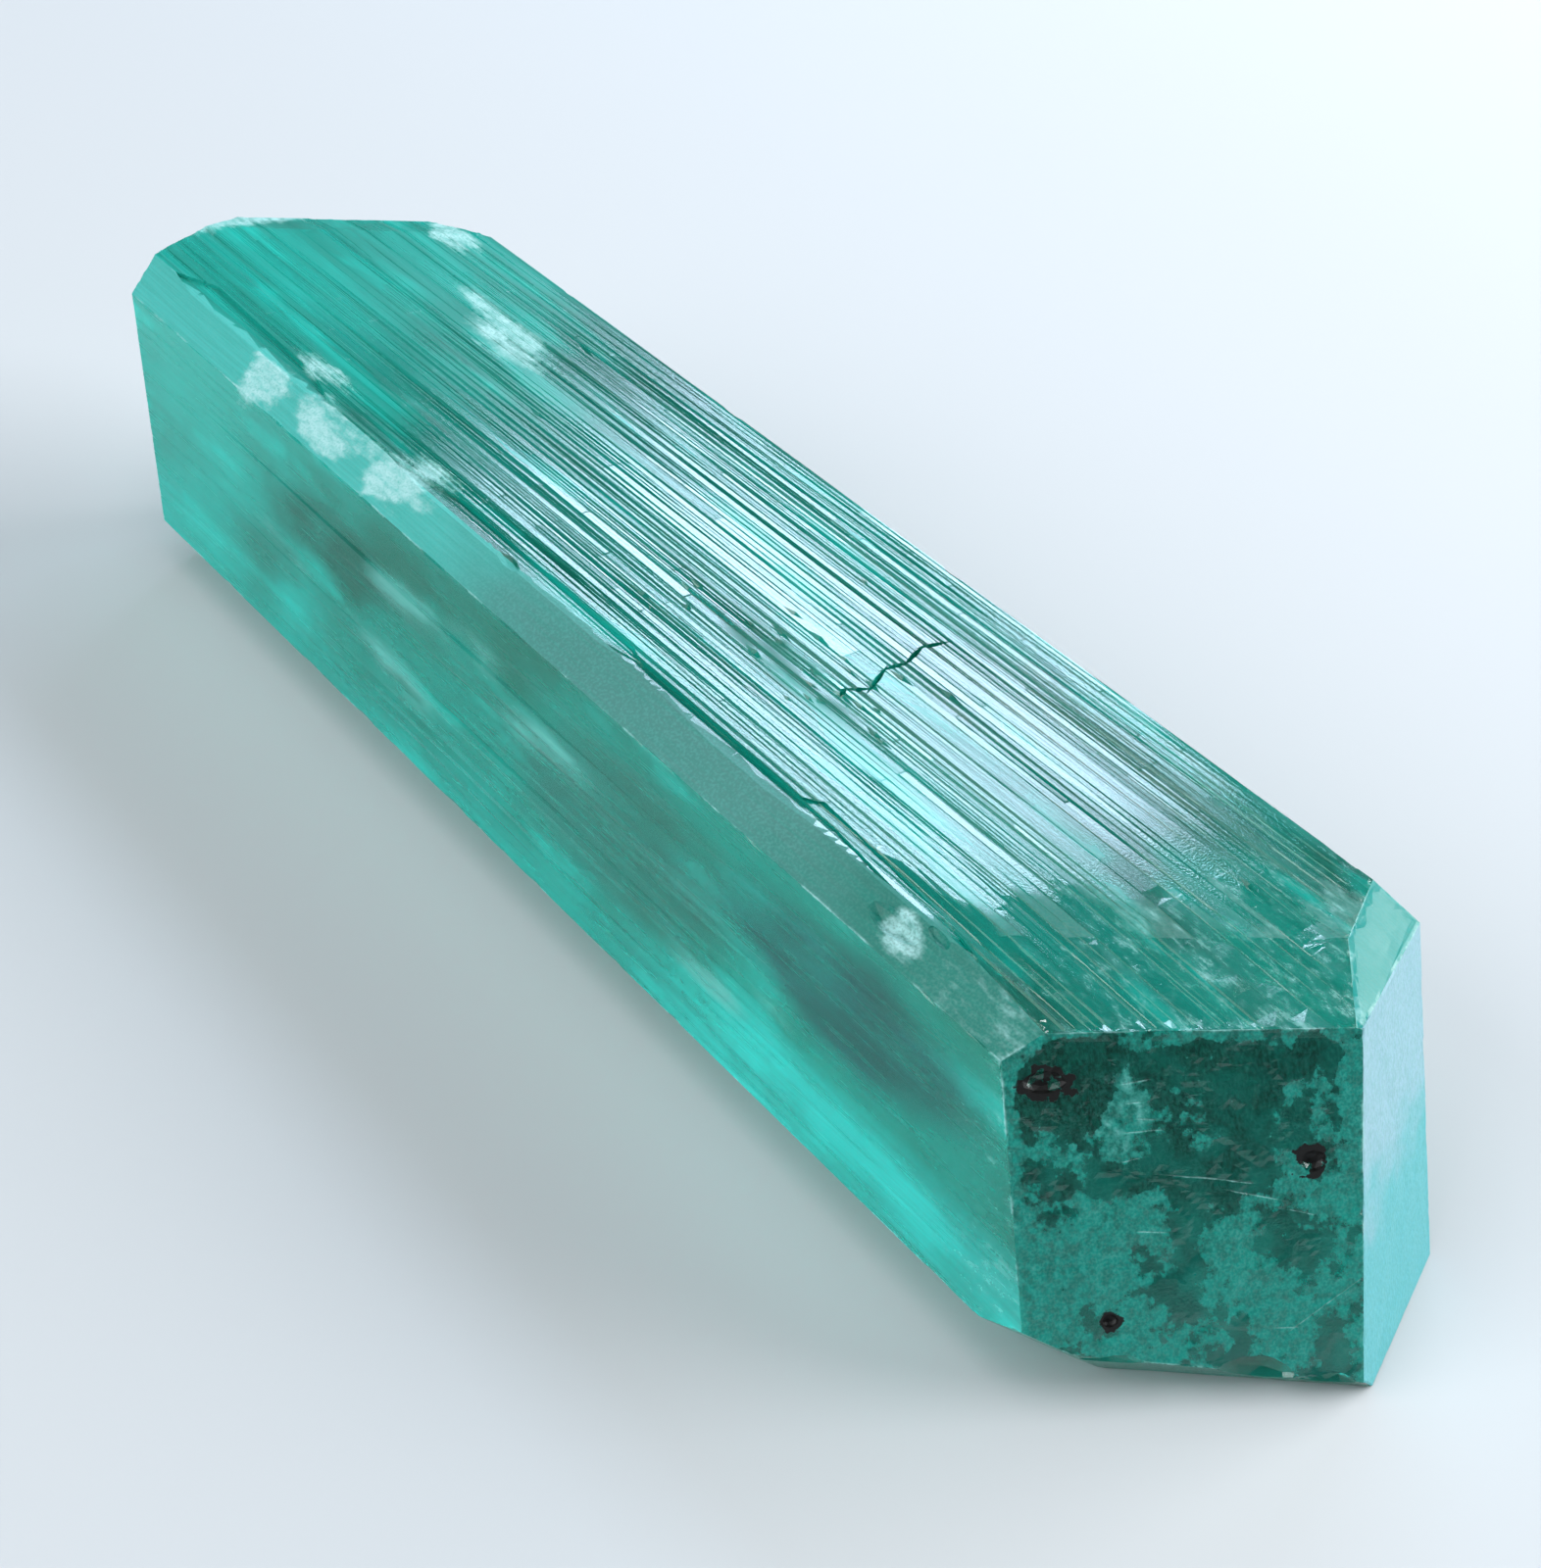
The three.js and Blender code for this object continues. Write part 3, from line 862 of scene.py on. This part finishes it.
def crystal_material():
    material = bpy.data.materials.new("green_spodumene")
    n = Nodes(material)
    where = n.scaled(n.new("ShaderNodeTexCoord").outputs["Object"], (1 / MM, 1 / MM, 1 / MM))
    ragged = n.noise(where, *RAGGED_NOISE)
    fine = n.noise(where, *FINE_NOISE)
    streak = n.noise(where, *STREAK_NOISE)

    def broken(name, low, high, by):
        edge = n.math("ADD", n.value_of(name), n.math("MULTIPLY", n.math("SUBTRACT", ragged, 0.5), by))
        return n.ramp(edge, low, high)

    white = n.math("MULTIPLY", broken("frost", 0.26, 1.02, 1.1), n.ramp(fine, 0.25, 0.6, 0.55, 1.0))
    island = broken("etch", 0.40, 0.62, 0.6)
    grains = broken("black", 0.40, 0.5, 1.3)
    grain = n.value_of("grain")

    colour = n.mix(n.ramp(streak, 0.3, 0.7, 0.0, 0.35), n.colour_of("tint"), "streak")
    flecked = n.math("MULTIPLY", island, n.ramp(fine, 0.2, 0.75, 0.45, 0.9))
    flecked = n.math("MULTIPLY", flecked, n.ramp(ragged, 0.36, 0.62, 0.4, 1.0))
    colour = n.mix(flecked, colour, "island")
    colour = n.mix(n.math("MULTIPLY", grain, n.ramp(fine, 0.4, 0.7, 0.0, 0.3)), colour, "speckle")
    colour = n.mix(white, colour, "white")
    colour = n.mix(grains, colour, "grain")

    through = n.blend(island, n.value_of("clear"), ISLAND_CLEAR)
    through = n.blend(white, through, WHITE_CLEAR)
    through = n.blend(grains, through, GRAIN_CLEAR)

    rough = n.math("ADD", n.value_of("rough"), n.ramp(streak, 0.4, 0.75, 0.0, 0.08))
    rough = n.blend(island, rough, ISLAND_ROUGH)
    rough = n.blend(white, rough, WHITE_ROUGH)
    rough = n.blend(grains, rough, GRAIN_ROUGH)

    bump = n.new("ShaderNodeBump")
    bump.inputs["Strength"].default_value = BUMP_STRENGTH
    bump.inputs["Distance"].default_value = BUMP_DISTANCE
    n.put(bump.inputs["Height"], n.math("MULTIPLY", fine, grain))

    shader = n.new("ShaderNodeBsdfPrincipled")
    shader.inputs["IOR"].default_value = INDEX_OF_REFRACTION
    shader.inputs["Specular IOR Level"].default_value = SPECULAR_LEVEL
    n.put(shader.inputs["Base Color"], colour)
    n.put(shader.inputs["Roughness"], rough)
    n.put(shader.inputs["Transmission Weight"], through)
    n.put(shader.inputs["Normal"], bump.outputs[0])
    inside = n.new("ShaderNodeVolumeAbsorption")
    inside.inputs["Color"].default_value = (*COLOURS["let_through"], 1)
    inside.inputs["Density"].default_value = ABSORPTION_DENSITY
    out = n.new("ShaderNodeOutputMaterial")
    n.put(out.inputs["Surface"], shader.outputs[0])
    n.put(out.inputs["Volume"], inside.outputs[0])
    return material


crystal = bpy.data.objects.new("crystal_surface", painted(crystal_mesh()))
bpy.context.scene.collection.objects.link(crystal)
crystal.data.materials.append(crystal_material())
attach(crystal, "root")
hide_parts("crystal")


# Floor, light and camera, in metres
FLOOR_HALF = 3.0
FLOOR_GAP = 0.05 * MM
FLOOR_ROUGH = 0.7
SKY_STRENGTH = 0.12

# Lamps: where they hang, what they point at, their size, power in watts and colour.
# The sheen lamp hangs where the top mirrors it to the camera.
LAMPS = {
    "sheen": ((-0.49, 0.534, 0.50), (-0.49, 0.534, 0.0), (0.37, 0.18), 3.0, (0.61, 0.79, 1.0)),
    "overhead": ((-0.2, -0.3, 1.3), (0, 0, 0), (1.2, 1.2), 7.0, (0.95, 0.98, 1.0)),
    "behind": ((0.30, 0.75, 0.45), (0, 0, 0.01), (0.9, 0.5), 11.0, (0.94, 0.98, 1.0)),
    "fill": ((-0.15, -0.9, 0.55), (0, 0, 0.01), (0.9, 0.6), 7.8, (0.95, 0.98, 1.0)),
}

# The photograph's camera, worked out from the crystal's parallel edges: angles in degrees, lens in mm.
CAMERA_PLACE = (0.11765, -0.11243, 0.12913)
CAMERA_BEARING = -46.15
CAMERA_RISE = 37.0
CAMERA_ROLL = 10.534
CAMERA_LENS = 54.0
CAMERA_SENSOR = 36.0
CAMERA_NEAR = 0.01

# Enough bounces for light to pass through the crystal and back.
BOUNCES = 8
BOUNCES_THROUGH = 7


def floor():
    bm = bmesh.new()
    bmesh.ops.create_grid(bm, x_segments=1, y_segments=1, size=FLOOR_HALF)
    mesh = bpy.data.meshes.new("floor")
    bm.to_mesh(mesh)
    bm.free()
    ob = bpy.data.objects.new("floor", mesh)
    bpy.context.scene.collection.objects.link(ob)
    ob.location.z = -FLOOR_GAP
    material = bpy.data.materials.new("pale_floor")
    n = Nodes(material)
    shader = n.new("ShaderNodeBsdfPrincipled")
    shader.inputs["Base Color"].default_value = (*COLOURS["floor"], 1)
    shader.inputs["Roughness"].default_value = FLOOR_ROUGH
    out = n.new("ShaderNodeOutputMaterial")
    n.put(out.inputs["Surface"], shader.outputs[0])
    mesh.materials.append(material)


def lamp(name, place, aim, size, watts, colour):
    data = bpy.data.lights.new(name, "AREA")
    data.shape = "RECTANGLE"
    data.size, data.size_y = size
    data.energy = watts
    data.color = colour
    ob = bpy.data.objects.new(name, data)
    bpy.context.scene.collection.objects.link(ob)
    ob.location = place
    ob.rotation_mode = "QUATERNION"
    ob.rotation_quaternion = (Vector(aim) - Vector(place)).to_track_quat("-Z", "Y")


def sky():
    world = bpy.data.worlds.new("studio")
    world.use_nodes = True
    background = world.node_tree.nodes["Background"]
    background.inputs["Color"].default_value = (*COLOURS["sky"], 1)
    background.inputs["Strength"].default_value = SKY_STRENGTH
    bpy.context.scene.world = world


def camera():
    data = bpy.data.cameras.new("camera")
    data.lens = CAMERA_LENS
    data.sensor_width = CAMERA_SENSOR
    data.clip_start = CAMERA_NEAR
    eye = bpy.data.objects.new("camera", data)
    bpy.context.scene.collection.objects.link(eye)
    eye.location = CAMERA_PLACE
    look = -facing(CAMERA_BEARING, CAMERA_RISE)
    roll = Matrix.Rotation(math.radians(CAMERA_ROLL), 3, "Z")
    eye.rotation_mode = "QUATERNION"
    eye.rotation_quaternion = (look.to_track_quat("-Z", "Y").to_matrix() @ roll).to_quaternion()
    return eye


floor()
sky()
for name, settings in LAMPS.items():
    lamp(name, *settings)
bpy.context.scene.camera = camera()
bpy.context.scene.view_settings.view_transform = "Standard"
bpy.context.scene.cycles.max_bounces = BOUNCES
bpy.context.scene.cycles.transmission_bounces = BOUNCES_THROUGH
